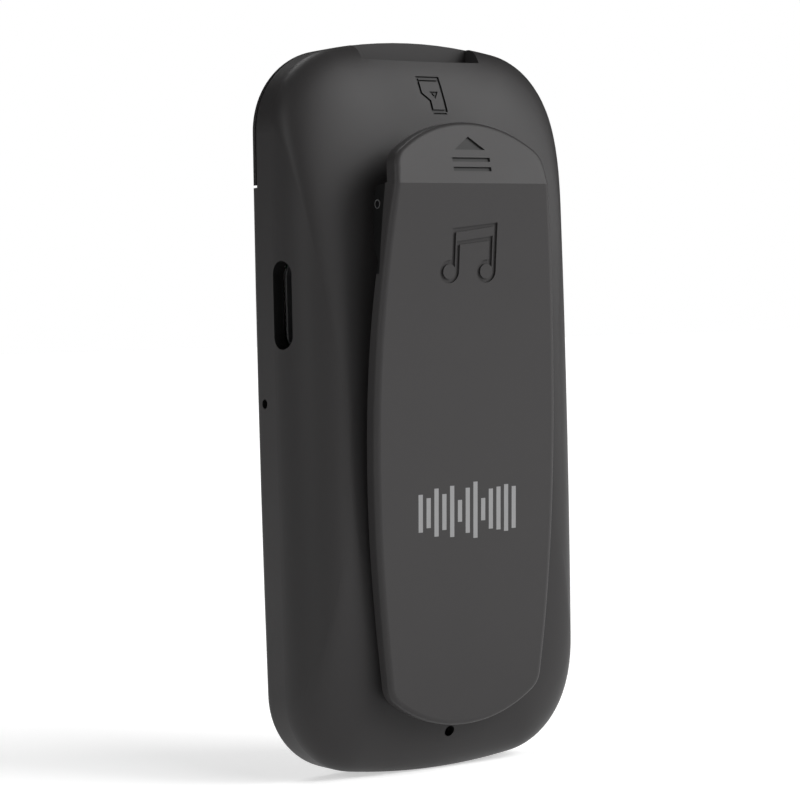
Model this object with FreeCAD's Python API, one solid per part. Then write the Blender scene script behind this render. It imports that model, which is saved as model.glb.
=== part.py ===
import FreeCAD, Part
import math
import os
from FreeCAD import Vector

# Clip-on digital audio player, millimetres.
# +Z is up, the screen and keys face -Y, the clip is at +Y and the charging port is at +X.
# "Depth" below always means the distance behind the flat front plane.
# Heights are drawn from a datum just below the case; main() lowers everything by DATUM,
# so that the finished case stands on z = 0.

# ---- Case ----
DATUM = 0.35
TOP_Z = 79.2
BOTTOM_Z = DATUM
WIDTH = 35.7
BULGE = 0.2            # how far each side bows out at mid height
DEPTH = 11.0
WALL = 1.3
SIDE_ROLL = 5.0        # how far the pillow back rolls in from each side
TOP_ROLL = 30.0
BOTTOM_ROLL = 18.0
ROLL_DEPTH = 6.5
TOP_ARC_R = 56.0
BOTTOM_ARC_R = 74.0
TOP_CORNER_R = 9.0
BOTTOM_CORNER_R = 8.6
CORNER_TIGHTENING = 0.6   # the corner radius first shrinks with the roll of the sides
CORNER_OPENING = 6.5      # and then opens up again towards the flat of the back
FRONT_EDGE_R = 1.2
KEY_PROUD = 0.3
SEAM_Z = 63.6          # the wrap-around window starts here
SEAM_DEPTH = 1.6
GAP = 0.1
WINDOW_GAP = 0.25
REACH = 100.0          # past the whole object, for cutting shapes

# ---- Clip ----
CLIP_RIDGE = 5.1       # ridge height above the back of the case
CLIP_TOP_Z = 69.9
CLIP_BOTTOM_Z = 5.9
CLIP_SHOULDER_Z = 66.3
CLIP_FOOT_Z = 9.6
RIDGE_Z = 63.4
CLIP_EDGE_R = 0.6
PIN_Z = 61.35
PIN_HEIGHT = 1.8       # hinge axis above the back of the case
PIN_R = 0.5
PIN_RUNNING_GAP = 0.05
PIN_HALF = 10.1
CHEEK_X = 8.1          # inner face of the clip's cheeks
EAR_R = 1.1
EAR_IN_X = 5.6
EAR_OUT_X = 7.9
EAR_FOOT = (0.95, 1.7)     # sunk into the back of the case, half its height
EAR_CLEARANCE = 0.25
CLIP_WAIST = (11.5, 42.0)  # widest half width of the clip and its Z
CLIP_TOP_HALF = 9.4
CLIP_FOOT_HALF = 9.7
CLIP_CORNER_R = 2.6
CLIP_END_Z = 5.5           # the profile runs on past the outline to here
PAD_TOP_Z = 70.5
PAD_HEIGHTS = (2.0, 3.6)   # inner and outer face of the thumb pad at its top
RIDGE_INNER = 3.3
OUTER_LINE = ((58.0, 4.45), (50.0, 3.6), (40.0, 2.85), (28.8, 2.3), (18.0, 1.85), (10.0, 1.4),
              (CLIP_END_Z, 1.0))   # Z and height above the back of the case
INNER_LINE = ((57.0, 2.75), (50.0, 1.9), (40.0, 1.1), (28.8, 0.55), (18.0, 0.2), (12.2, 0.0),
              (CLIP_END_Z, -0.5))
CHEEK_OUTER_X = 12.0
CHEEK_SHAPE = ((3.1, 54.5), (2.0, 56.3), (1.1, 59.6), (0.95, 61.0), (1.05, 62.6), (1.5, 63.3),
               (3.6, 63.6), (3.8, 59.0))   # height above the back of the case and Z
RIB_SHAPE = ((-0.25, 11.6), (-0.25, 12.6), (0.6, 14.0), (0.6, 10.4))
RIB_HALF = 6.5
SPRING_WIRE_R = 0.18
SPRING_COIL_R = 0.85
SPRING_PITCH = 0.62
SPRING_TURNS = 15

# ---- Front plane, chosen so the whole object is centred on Y ----
FACE_Y = KEY_PROUD - (KEY_PROUD + DEPTH + CLIP_RIDGE) / 2

# ---- Front: pieces centred on X are given as width, two depths, low and high Z ----
WINDOW_LOW_Z = 46.0
WINDOW_THICKNESS = 1.0
PANEL_DEPTHS = (0.15, 1.4)
FLANGE_ROOM = 1.3      # room round each key for its flange, behind this depth:
FLANGE_ROOM_DEPTH = 0.8
GASKET = (29.2, 1.0, 1.2, 47.8, 73.0)
GASKET_HOLE = (26.8, 0.0, 2.0, 49.8, 71.6)
DISPLAY = (29.0, 1.25, 2.45, 49.0, 71.5)
HOLDER = (31.0, 1.25, 3.2, 48.0, 72.3)
HOLDER_HOLE = (29.2, 0.0, 5.0, 48.9, 71.6)
HOLDER_NOTCH = (12.0, 2.4, 4.0, 47.0, 49.0)
HOLDER_CORNER_R = 0.4
FLEX_FRONT = ((2.45, 50.0), (2.45, 55.0), (3.23, 57.5), (3.23, 60.5))   # depth and Z
FLEX_BACK = ((3.35, 60.5), (3.35, 57.4), (2.57, 54.9), (2.57, 50.0))
FLEX_HALF = 4.5

# ---- Inside: pieces on the board are given as two X, low and high Z, height ----
BOARD_FRONT = 3.35
BOARD_BACK = 4.35
BOARD_INSET = 2.3
BOARD_TOP_Z = 75.15
BOARD_JACK_CUT = (-2.9, 2.8)   # its inner X and half height
MAIN_CHIP = (-1.6, 5.4, 51.6, 58.6, 0.9)
FLASH_CHIP = (-12.0, 0.0, 61.6, 70.6, 0.75)
RADIO_CHIP = (4.0, 8.0, 63.0, 67.0, 0.7)
CRYSTAL = (-12.4, -10.9, 61.5, 64.7, 0.7)
CRYSTAL_CORNER_R = 0.3
RESISTOR = (1.0, 0.5, 0.45)    # length, width, height
RESISTOR_START = (7.0, 57.4)
RESISTOR_PITCH = (1.9, 1.4)
RESISTOR_GRID = (4, 3)
CAPACITOR = (0.5, 1.0, 0.5)
CAPACITOR_START = (-10.5, 58.0)
CAPACITOR_PITCH = 1.6
CAPACITORS = 5
BATTERY = (24.0, 4.7, 9.2, 14.0, 46.6)
BATTERY_CORNER_R = 1.4
BATTERY_PAD = (16.0, 9.2, 9.6, 22.0, 39.5)
BATTERY_PLUG = (-1.8, 1.8, 48.6, 50.6, 1.3)
LEAD_X = 0.9
LEAD_DEPTH = 5.3
LEAD_R = 0.3
LEAD_LENGTH = 2.0
SCREW_PLACES = ((12.4, 9.6), (-12.4, 9.6), (10.5, 74.0), (-10.5, 74.0))   # X and Z
SCREW_POST_R = 1.5
SCREW_HEAD_R = 1.15
SCREW_HEAD_HEIGHT = 0.6
SCREW_R = 0.68
SCREW_HOLE_R = 0.7
SCREW_BOARD_HOLE_R = 0.75
SCREW_END = 6.3
SCREW_HOLE_END = 6.4
SCREW_SLOT = (0.7, 0.12, 3.0)  # half length, half width, depth it is cut to
PORT_Z = 51.1
PORT_DEPTH = 5.96
PORT_FACE_X = 16.45
PORT_HOLE = (9.25, 2.85)
PORT_SHELL = (8.94, 3.16)
PORT_CAVITY = (8.34, 2.56)
PORT_LENGTH = 7.3
PORT_CAVITY_LENGTH = 6.6
TONGUE_HALF = (0.35, 3.3)      # half its thickness and half its width
TONGUE_SETBACK = 0.4
RESET_Z = 40.74
RESET_DEPTH = 2.2
RESET_BODY = (13.0, 15.9)      # its two ends in X
RESET_BODY_FRONT = 1.5
RESET_BODY_HALF = 1.8
RESET_POCKET = (14.9, 0.6)     # floor and radius
RESET_PLUNGER = (15.2, 16.6, 0.55)   # two ends and radius
RESET_HOLE_R = 0.5
JACK_Z = 54.0
JACK_BODY = (-14.6, -3.2)      # its two ends in X
JACK_BODY_HALF = (2.4, 2.6)    # half its thickness and half its height
JACK_NOSE_X = -16.0
JACK_NOSE_R = 2.4
JACK_OPENING_R = 2.6
JACK_PAD_X = (-13.0, -9.6, -6.2)
JACK_PAD = (1.2, 1.2, 0.5)     # length, width, height
JACK_DEPTH = 5.95
JACK_R = 1.8
JACK_MOUTH_X = -16.9
JACK_FLOOR_X = -4.6
SWITCH_Z = 38.0
SWITCH_DEPTH = 2.45
SWITCH_TRAVEL = 2.0
SWITCH_SLOT = (6.2, 1.5)
SWITCH_BASE = (-15.7, -13.25)  # its two ends in X
SWITCH_BASE_FRONT = 1.6
SWITCH_GROOVE_FLOOR_X = -14.7
KNOB = (4.0, 1.3)
KNOB_ENDS = (-17.95, -16.5)
KNOB_RIDGE_PITCH = 0.8
KNOB_RIDGE_X = -17.7
SHOE_ENDS = (-16.6, -15.9)
SHOE_HALF = 4.0
STEM_ENDS = (-16.0, -14.8)
STEM_HALF = (0.35, 1.0)        # half its thickness and half its height
CARD_SLOT_DEPTH = 5.1
CARD_HALF = 5.6
CARD_CAGE = (13.2, BOARD_BACK, 5.95, 60.4, 75.1)
CARD_STOP_Z = 61.0
NOTCH_HALF = 7.55
NOTCH_Z = 77.05        # at the ends of the notch
NOTCH_SAG = 0.12       # how much lower its floor is in the middle
NOTCH_FLARE = 0.2
NOTCH_DEPTH = 4.0
NOTCH_LINING = (1.2, 2.9, 7.0, 75.3, 78.4)   # past each end, two depths, low and high Z
MIC_HOLE_Z = 4.84
MIC_HOLE_R = 0.58
MIC_Z = 5.3
MIC_R = 1.5
MIC_BACK = 5.6
BOOT_R = 2.0
BOOT_BACK = 6.6
BOOT_GAP = 0.05
BOOT_HOLE = (5.1, 0.6)         # its Z and radius

# ---- Keys ----
KEY_GAP = 0.15
KEY_SPLIT = 0.3        # between the quarters of the ring
KEY_EDGE_R = 0.25
CENTRE_EDGE_R = 0.4
FLANGE = 1.1           # how far the ring keys' flanges reach past their caps
CENTRE_FLANGE = 0.8
PILL_FLANGE = 1.0
FLANGE_DEPTHS = (0.9, 1.35)
CENTRE_FLANGE_DEPTHS = (1.3, 1.6)
PRESS_R = 9.4          # the ring keys press this far from the middle
MEMBRANE_DEPTHS = (1.95, 2.25)
MEMBRANE = (12.8, 12.6, 2.0)   # radius, half width, how far it passes the pill keys
NUB_R = 1.0
NUB_DEPTHS = (2.2, 2.8)
SHEET = (12.4, 12.2, 2.4)
SHEET_FRONT = 3.2
DOME = (2.0, 1.1, 0.35)        # foot radius, top radius, height
RING_Z = 24.5
RING_R = 13.0
RING_INNER_R = 5.75
CENTRE_R = 5.5
PILL_Z = 41.6
PILL_X = 9.0
PILL_LENGTH = 6.0
PILL_WIDTH = 2.5

# ---- Engraved symbols ----
ENGRAVING = 0.22
PICTOGRAM_LEAN = 0.1
NOTE_Z = 54.2
NOTE_HEAD_R = 1.0
NOTE_X = (-1.95, 2.75)
NOTE_STEM = (0.55, 4.3)        # width and height
NOTE_BEAM = (3.2, 4.6)         # low and high edge, above the heads
NOTE_SLOPE = 0.3
NOTE_LINE = 0.22               # half the width of the groove
PAD_ARROW = (1.95, 66.95, 68.35)     # half its base, Z of the base and of the tip
PAD_BARS_Z = (64.9, 65.9)
PAD_BAR = (2.4, 0.22)          # half length and half width

nodes = {}


# ---- Shape helpers ----
def depth_y(depth):
    return FACE_Y + depth


def back_y(height):
    return FACE_Y + DEPTH + height


def box(x0, x1, d0, d1, z0, z1):
    """Box from x0 to x1, between two depths, from z0 to z1."""
    return Part.makeBox(x1 - x0, d1 - d0, z1 - z0, Vector(x0, depth_y(d0), z0))


def centred(width, d0, d1, z0, z1):
    """Box centred on X."""
    return box(-width / 2, width / 2, d0, d1, z0, z1)


def on_back(x0, x1, z0, z1, height):
    """Block on the board's back face."""
    return box(x0, x1, BOARD_BACK, BOARD_BACK + height, z0, z1)


def on_front(x0, x1, z0, z1, height):
    """Block on the board's front face."""
    return box(x0, x1, BOARD_FRONT - height, BOARD_FRONT, z0, z1)


def disc(x, z, r, d0, d1):
    """Round bar along Y between two depths."""
    return Part.makeCylinder(r, d1 - d0, Vector(x, depth_y(d0), z), Vector(0, 1, 0))


def rod_x(x0, x1, depth, z, r):
    """Round bar along X."""
    return Part.makeCylinder(r, x1 - x0, Vector(x0, depth_y(depth), z), Vector(1, 0, 0))


def prism_y(points, d0, d1):
    """Polygon of (x, z) points, solid between two depths."""
    loop = [Vector(x, depth_y(d0), z) for x, z in points]
    return Part.Face(Part.makePolygon(loop + loop[:1])).extrude(Vector(0, d1 - d0, 0))


def prism_x(points, x0, x1):
    """Polygon of (depth, z) points, solid from x0 to x1."""
    loop = [Vector(x0, depth_y(d), z) for d, z in points]
    return Part.Face(Part.makePolygon(loop + loop[:1])).extrude(Vector(x1 - x0, 0, 0))


def fuse(shapes):
    first, rest = shapes[0], list(shapes[1:])
    return first.fuse(rest).removeSplitter() if rest else first


def round_edges(shape, radius, along):
    """Rounds the straight edges that run along one axis."""
    edges = []
    for edge in shape.Edges:
        ends = edge.Vertexes
        if len(ends) == 2 and edge.Curve.TypeId == "Part::GeomLine":
            direction = ends[1].Point.sub(ends[0].Point).normalize()
            if abs(direction.dot(along)) > 0.999:
                edges.append(edge)
    return shape.makeFillet(radius, edges)


def slot_x(x0, x1, depth, z, length, width):
    """Pill-shaped bar along X, long in Z."""
    half = (length - width) / 2
    flat = box(x0, x1, depth - width / 2, depth + width / 2, z - half, z + half)
    return fuse([flat] + [rod_x(x0, x1, depth, z + s * half, width / 2) for s in (-1, 1)])


def pill_y(x, z, length, width, d0, d1):
    """Pill-shaped bar along Y, long in X."""
    half = (length - width) / 2
    flat = box(x - half, x + half, d0, d1, z - width / 2, z + width / 2)
    return fuse([flat] + [disc(x + s * half, z, width / 2, d0, d1) for s in (-1, 1)])


# ---- Case outline: slightly arched ends, rounded corners, pillow back ----
def end_arc(half_width, end_z, arc_r, corner_r, sign):
    corner_x = half_width - corner_r
    arc_z = end_z - sign * arc_r
    corner_z = arc_z + sign * math.sqrt((arc_r - corner_r) ** 2 - corner_x ** 2)
    return arc_z, corner_x, corner_z, math.atan2(corner_z - arc_z, corner_x)


def outline(y, half_width, top, bottom, shrink, corner_shrink):
    """Closed wire of the case outline at one Y."""
    top_r, bottom_r = TOP_ARC_R - shrink[0], BOTTOM_ARC_R - shrink[1]
    tc, bc = TOP_CORNER_R - corner_shrink[0], BOTTOM_CORNER_R - corner_shrink[1]
    arc_z, cx, cz, turn = end_arc(half_width, top, top_r, tc, 1)
    low_z, bx, bz, low_turn = end_arc(half_width, bottom, bottom_r, bc, -1)

    def point(x, z, r, angle):
        return Vector(x + r * math.cos(angle), y, z + r * math.sin(angle))

    def arc(x, z, r, a0, a1):
        mid = (a0 + a1) / 2
        return Part.Arc(point(x, z, r, a0), point(x, z, r, mid), point(x, z, r, a1)).toShape()

    w = half_width
    waist = (bz + cz) / 2

    def side(sign, z0, z1):
        ends = Vector(sign * w, y, z0), Vector(sign * w, y, z1)
        return Part.Arc(ends[0], Vector(sign * (w + BULGE), y, waist), ends[1]).toShape()

    return Part.Wire([
        side(1, bz, cz),
        arc(cx, cz, tc, 0, turn),
        arc(0, arc_z, top_r, turn, math.pi - turn),
        arc(-cx, cz, tc, math.pi - turn, math.pi),
        side(-1, cz, bz),
        arc(-bx, bz, bc, math.pi, math.pi - low_turn),
        arc(0, low_z, bottom_r, math.pi - low_turn, 2 * math.pi + low_turn),
        arc(bx, bz, bc, low_turn, 0),
    ])


def case_level(inset, degrees):
    """Outline of the case, offset inwards, at one step around the pillow back."""
    angle = math.radians(degrees)
    k = 1 - math.cos(angle)
    side = (SIDE_ROLL - inset) * k + inset
    top = (TOP_ROLL - inset) * k + inset
    bottom = (BOTTOM_ROLL - inset) * k + inset
    y = back_y(-inset) - (ROLL_DEPTH - inset) * (1 - math.sin(angle))
    tighter = CORNER_TIGHTENING * (side - inset) + inset
    corners = (tighter - CORNER_OPENING * k, tighter - CORNER_OPENING * k * k)
    return outline(y, WIDTH / 2 - side, TOP_Z - top, BOTTOM_Z + bottom, (top, bottom), corners)


def case_solid(inset, front_depth):
    """Solid of the case offset inwards, starting at front_depth."""
    base = case_level(inset, 0)
    back = Part.makeLoft([case_level(inset, a) for a in (0, 12, 25, 38, 51, 64, 77, 90)], True, False)
    wall = Part.Face(base).extrude(Vector(0, depth_y(front_depth) - base.BoundBox.YMin, 0))
    return wall.fuse(back)


def plate(inset, d0, d1):
    """Flat plate with the case outline offset inwards."""
    both = (inset, inset)
    wire = outline(depth_y(d0), WIDTH / 2 - inset, TOP_Z - inset, BOTTOM_Z + inset, both, both)
    return Part.Face(wire).extrude(Vector(0, d1 - d0, 0))


def above(z):
    return box(-REACH, REACH, -REACH, REACH, z, REACH)


# ---- Rear cover ----
def front_edges(shape):
    return [e for e in shape.Edges if all(abs(v.Point.y - FACE_Y) < 1e-6 for v in e.Vertexes)]


def card_pictogram():
    """Memory-card symbol: outline with a cut corner, doubled end lines and an arrow."""
    left, right, low, high, line = -1.4, 1.55, 71.43, 75.28, 0.25
    step = right - 0.9

    def leaning(points):
        return prism_y([(x + PICTOGRAM_LEAN * (z - high), z) for x, z in points], 0, 20)

    def stripe(x0, x1, z):
        return leaning([(x0, z), (x1, z), (x1, z + 0.15), (x0, z + 0.15)])

    outer = leaning([(left, low), (step, low), (step, low + 1.15), (right, low + 1.95),
                     (right, high), (left, high)])
    inner = leaning([(left + line, low + line), (step - line, low + line),
                     (step - line, low + 1.25), (right - line, low + 2.05),
                     (right - line, high - line), (left + line, high - line)])
    stripes = [stripe(left + 0.2, right - 0.2, high - 0.55), stripe(left + 0.2, step - 0.2, low - 0.27)]
    middle = low + 1.85
    arrow = leaning([(-0.75, middle + 0.35), (0.35, middle + 0.35), (-0.2, middle - 0.45)])
    hole = leaning([(-0.4, middle + 0.17), (0.0, middle + 0.17), (-0.2, middle - 0.12)])
    return fuse([outer.cut(inner), arrow.cut(hole)] + stripes)


def thumb_notch():
    """Scoop in the top edge: sloping ends, a floor that sags in the middle and a flat wall."""
    y = depth_y(NOTCH_DEPTH)

    def v(x, z):
        return Vector(x, y, z)

    floor = Part.Arc(v(-NOTCH_HALF, NOTCH_Z), v(0, NOTCH_Z - NOTCH_SAG), v(NOTCH_HALF, NOTCH_Z)).toShape()
    wide = NOTCH_HALF + NOTCH_FLARE
    rim = [v(NOTCH_HALF, NOTCH_Z), v(wide, 81), v(-wide, 81), v(-NOTCH_HALF, NOTCH_Z)]
    wire = Part.Wire([floor] + [Part.LineSegment(a, b).toShape() for a, b in zip(rim, rim[1:])])
    return Part.Face(wire).extrude(Vector(0, 16, 0))


def hinge_ears():
    """Two ears that carry the hinge pin."""
    sunk, half = EAR_FOOT
    axis = DEPTH + PIN_HEIGHT
    ears = []
    for sign in (-1, 1):
        x0, x1 = sorted((sign * EAR_IN_X, sign * EAR_OUT_X))
        base = prism_x([(DEPTH - sunk, PIN_Z - half), (DEPTH - sunk, PIN_Z + half), (axis, PIN_Z + EAR_R),
                        (axis, PIN_Z - EAR_R)], x0, x1)
        ears.append(fuse([base, rod_x(x0, x1, axis, PIN_Z, EAR_R)]))
    return ears


def make_rear_cover():
    skin = case_solid(0, 0)
    skin = skin.makeFillet(FRONT_EDGE_R, front_edges(skin))
    hollow = case_solid(WALL, -1)
    lining = case_solid(WALL / 2, -1)
    cover = skin.cut(hollow)
    past, *lining_sides = NOTCH_LINING
    inside = [centred(2 * (NOTCH_HALF + past), *lining_sides)]
    inside += [disc(x, z, SCREW_POST_R, BOARD_BACK + GAP / 2, DEPTH) for x, z in SCREW_PLACES]
    cover = cover.fuse([s.common(lining) for s in inside])
    cover = cover.fuse(hinge_ears())
    seam_cut = box(-REACH, REACH, -REACH, SEAM_DEPTH, SEAM_Z, REACH)
    card = centred(2 * CARD_HALF, CARD_SLOT_DEPTH - 0.5, CARD_SLOT_DEPTH + 0.5, 75, TOP_Z)
    cuts = [seam_cut, thumb_notch(), card]
    cuts.append(slot_x(10, REACH, PORT_DEPTH, PORT_Z, *PORT_HOLE))
    pocket = [size + 3 * GAP for size in PORT_SHELL]
    cuts.append(slot_x(10, PORT_FACE_X + GAP, PORT_DEPTH, PORT_Z, *pocket))
    cuts.append(rod_x(15, REACH, RESET_DEPTH, RESET_Z, RESET_HOLE_R))
    cuts.append(rod_x(-REACH, -12, JACK_DEPTH, JACK_Z, JACK_OPENING_R))
    cuts.append(slot_x(-REACH, -15, SWITCH_DEPTH, SWITCH_Z + SWITCH_TRAVEL / 2, *SWITCH_SLOT))
    cuts.append(disc(0, MIC_HOLE_Z, MIC_HOLE_R, 5, REACH))
    cuts += [disc(x, z, SCREW_HOLE_R, BOARD_BACK, SCREW_HOLE_END) for x, z in SCREW_PLACES]
    ear_bore = rod_x(-EAR_OUT_X - 1, EAR_OUT_X + 1, DEPTH + PIN_HEIGHT, PIN_Z, PIN_R + PIN_RUNNING_GAP)
    cuts.append(ear_bore)
    for shape in cuts:
        cover = cover.cut(shape)
    engraved = card_pictogram().common(skin.cut(case_solid(ENGRAVING, -1)))
    cover = cover.cut(engraved.common(box(-5, 5, 5, REACH, 60, 80)))
    nodes["rear_cover"] = cover
    return skin


# ---- Front of the case ----
def key_openings(grow, d0, d1):
    shapes = [disc(0, RING_Z, RING_R + grow, d0, d1)]
    for sign in (-1, 1):
        shapes.append(pill_y(sign * PILL_X, PILL_Z, PILL_LENGTH + 2 * grow, PILL_WIDTH + 2 * grow, d0, d1))
    return shapes


def make_front(skin):
    inset = WALL + GAP
    cap = skin.common(box(-REACH, REACH, -REACH, SEAM_DEPTH - WINDOW_GAP, SEAM_Z + WINDOW_GAP, REACH))
    cap = cap.cut(plate(inset, WINDOW_THICKNESS, DEPTH))
    lower = plate(inset, 0, WINDOW_THICKNESS).common(box(-REACH, REACH, -1, 5, WINDOW_LOW_Z, SEAM_Z + 0.3))
    nodes["display_window"] = fuse([cap, lower])

    panel = plate(inset, *PANEL_DEPTHS).cut(above(WINDOW_LOW_Z - GAP))
    cuts = key_openings(KEY_GAP, -1, DEPTH) + key_openings(FLANGE_ROOM, FLANGE_ROOM_DEPTH, DEPTH)
    for shape in cuts:
        panel = panel.cut(shape)
    nodes["front_panel"] = panel

    nodes["window_gasket"] = centred(*GASKET).cut(centred(*GASKET_HOLE))


# ---- Display ----
def make_display():
    nodes["display_panel"] = centred(*DISPLAY)
    holder = round_edges(centred(*HOLDER).cut(centred(*HOLDER_HOLE)), HOLDER_CORNER_R, Vector(0, 1, 0))
    nodes["display_holder"] = holder.cut(centred(*HOLDER_NOTCH))
    nodes["display_flex"] = prism_x(FLEX_FRONT + FLEX_BACK, -FLEX_HALF, FLEX_HALF)


# ---- Circuit board and what is on it ----
def make_board():
    board = plate(BOARD_INSET, BOARD_FRONT, BOARD_BACK).cut(above(BOARD_TOP_Z))
    jack_x, jack_half = BOARD_JACK_CUT
    board = board.cut(box(-REACH, jack_x, 0, DEPTH, JACK_Z - jack_half, JACK_Z + jack_half))
    for x, z in SCREW_PLACES:
        board = board.cut(disc(x, z, SCREW_BOARD_HOLE_R, 0, DEPTH))
    nodes["main_board"] = board

    nodes["main_chip"] = on_back(*MAIN_CHIP)
    nodes["flash_chip"] = on_front(*FLASH_CHIP)
    nodes["radio_chip"] = on_front(*RADIO_CHIP)
    nodes["crystal"] = round_edges(on_back(*CRYSTAL), CRYSTAL_CORNER_R, Vector(0, 1, 0))

    def part(x, z, size):
        length, width, height = size
        return on_back(x, x + length, z, z + width, height)

    columns, rows = RESISTOR_GRID
    small = []
    for column in range(columns):
        for row in range(rows):
            x = RESISTOR_START[0] + RESISTOR_PITCH[0] * column
            z = RESISTOR_START[1] + RESISTOR_PITCH[1] * row
            small.append(part(x, z, RESISTOR))
    for column in range(CAPACITORS):
        small.append(part(CAPACITOR_START[0] + CAPACITOR_PITCH * column, CAPACITOR_START[1], CAPACITOR))
    nodes["board_parts"] = Part.makeCompound(small)


def make_battery():
    nodes["battery"] = round_edges(centred(*BATTERY), BATTERY_CORNER_R, Vector(0, 0, 1))
    nodes["battery_pad"] = centred(*BATTERY_PAD)
    nodes["battery_connector"] = on_back(*BATTERY_PLUG)
    battery_top = BATTERY[-1]
    leads = []
    for x in (-LEAD_X, LEAD_X):
        start = Vector(x, depth_y(LEAD_DEPTH), battery_top)
        leads.append(Part.makeCylinder(LEAD_R, LEAD_LENGTH, start, Vector(0, 0, 1)))
    nodes["battery_leads"] = Part.makeCompound(leads)


def make_charging_port():
    floor_x = PORT_FACE_X - PORT_CAVITY_LENGTH
    tube = slot_x(PORT_FACE_X - PORT_LENGTH, PORT_FACE_X, PORT_DEPTH, PORT_Z, *PORT_SHELL)
    cavity = slot_x(floor_x, REACH, PORT_DEPTH, PORT_Z, *PORT_CAVITY)
    nodes["charge_shell"] = tube.cut(cavity)
    thin, wide = TONGUE_HALF
    nodes["charge_tongue"] = box(floor_x, PORT_FACE_X - TONGUE_SETBACK, PORT_DEPTH - thin, PORT_DEPTH + thin,
                                 PORT_Z - wide, PORT_Z + wide)


def make_card_socket():
    half = 0.45
    slot = centred(2 * CARD_HALF, CARD_SLOT_DEPTH - half, CARD_SLOT_DEPTH + half, CARD_STOP_Z, REACH)
    nodes["card_socket"] = centred(*CARD_CAGE).cut(slot)


def make_headphone_jack():
    x0, x1 = JACK_BODY
    thin, tall = JACK_BODY_HALF
    body = box(x0, x1, JACK_DEPTH - thin, JACK_DEPTH + thin, JACK_Z - tall, JACK_Z + tall)
    nose = rod_x(JACK_NOSE_X, x0, JACK_DEPTH, JACK_Z, JACK_NOSE_R)
    bore = rod_x(-REACH, JACK_FLOOR_X, JACK_DEPTH, JACK_Z, JACK_R)
    nodes["jack_housing"] = fuse([body, nose]).cut(bore)
    nodes["jack_collar"] = rod_x(JACK_MOUTH_X, JACK_NOSE_X, JACK_DEPTH, JACK_Z, JACK_NOSE_R).cut(bore)
    length, width, height = JACK_PAD
    low = JACK_Z + tall
    pads = [on_back(x, x + length, low, low + width, height) for x in JACK_PAD_X]
    nodes["jack_contacts"] = Part.makeCompound(pads)


def make_power_switch():
    thin, tall = STEM_HALF
    base = box(*SWITCH_BASE, SWITCH_BASE_FRONT, BOARD_FRONT,
               SWITCH_Z - SHOE_HALF, SWITCH_Z + SHOE_HALF + SWITCH_TRAVEL)
    groove = box(-REACH, SWITCH_GROOVE_FLOOR_X, SWITCH_DEPTH - thin - GAP, SWITCH_DEPTH + thin + GAP,
                 SWITCH_Z - tall - GAP, SWITCH_Z + tall + SWITCH_TRAVEL + GAP)
    nodes["switch_base"] = base.cut(groove)
    knob = slot_x(*KNOB_ENDS, SWITCH_DEPTH, SWITCH_Z, *KNOB)
    for step in (-1, 0, 1):
        z = SWITCH_Z + KNOB_RIDGE_PITCH * step
        knob = knob.cut(box(-REACH, KNOB_RIDGE_X, 0, DEPTH, z - 0.15, z + 0.15))
    shoe = box(*SHOE_ENDS, SWITCH_DEPTH - 0.85, SWITCH_DEPTH + 0.8, SWITCH_Z - SHOE_HALF, SWITCH_Z + SHOE_HALF)
    stem = box(*STEM_ENDS, SWITCH_DEPTH - thin, SWITCH_DEPTH + thin, SWITCH_Z - tall, SWITCH_Z + tall)
    nodes["switch_knob"] = fuse([knob, shoe, stem])


def make_reset_switch():
    half = RESET_BODY_HALF
    body = box(*RESET_BODY, RESET_BODY_FRONT, BOARD_FRONT, RESET_Z - half, RESET_Z + half)
    floor_x, pocket_r = RESET_POCKET
    nodes["reset_switch"] = body.cut(rod_x(floor_x, REACH, RESET_DEPTH, RESET_Z, pocket_r))
    x0, x1, plunger_r = RESET_PLUNGER
    nodes["reset_plunger"] = rod_x(x0, x1, RESET_DEPTH, RESET_Z, plunger_r)


def make_microphone():
    nodes["microphone"] = disc(0, MIC_Z, MIC_R, BOARD_BACK, MIC_BACK)
    boot = disc(0, MIC_Z, BOOT_R, BOARD_BACK, BOOT_BACK)
    boot = boot.cut(disc(0, MIC_Z, MIC_R + BOOT_GAP, 0, MIC_BACK + BOOT_GAP))
    hole_z, hole_r = BOOT_HOLE
    nodes["microphone_boot"] = boot.cut(disc(0, hole_z, hole_r, 0, DEPTH))


# ---- Keys ----
def sector(r0, r1, middle, gap, d0, d1):
    """A quarter of a ring with parallel gaps on the diagonals; middle is its direction."""
    ring = disc(0, RING_Z, r1, d0, d1).cut(disc(0, RING_Z, r0, d0 - 1, d1 + 1))
    apex = gap / math.sqrt(2)
    wedge = prism_y([(apex, 0), (apex + 30, 30), (apex + 30, -30)], d0 - 1, d1 + 1)
    wedge.rotate(Vector(0, 0, 0), Vector(0, -1, 0), middle)
    wedge.translate(Vector(0, 0, RING_Z))
    return ring.common(wedge)


def soften_top(shape, radius):
    top = shape.BoundBox.YMin
    edges = [e for e in shape.Edges if all(abs(v.Point.y - top) < 1e-6 for v in e.Vertexes)]
    return shape.makeFillet(radius, edges)


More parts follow.
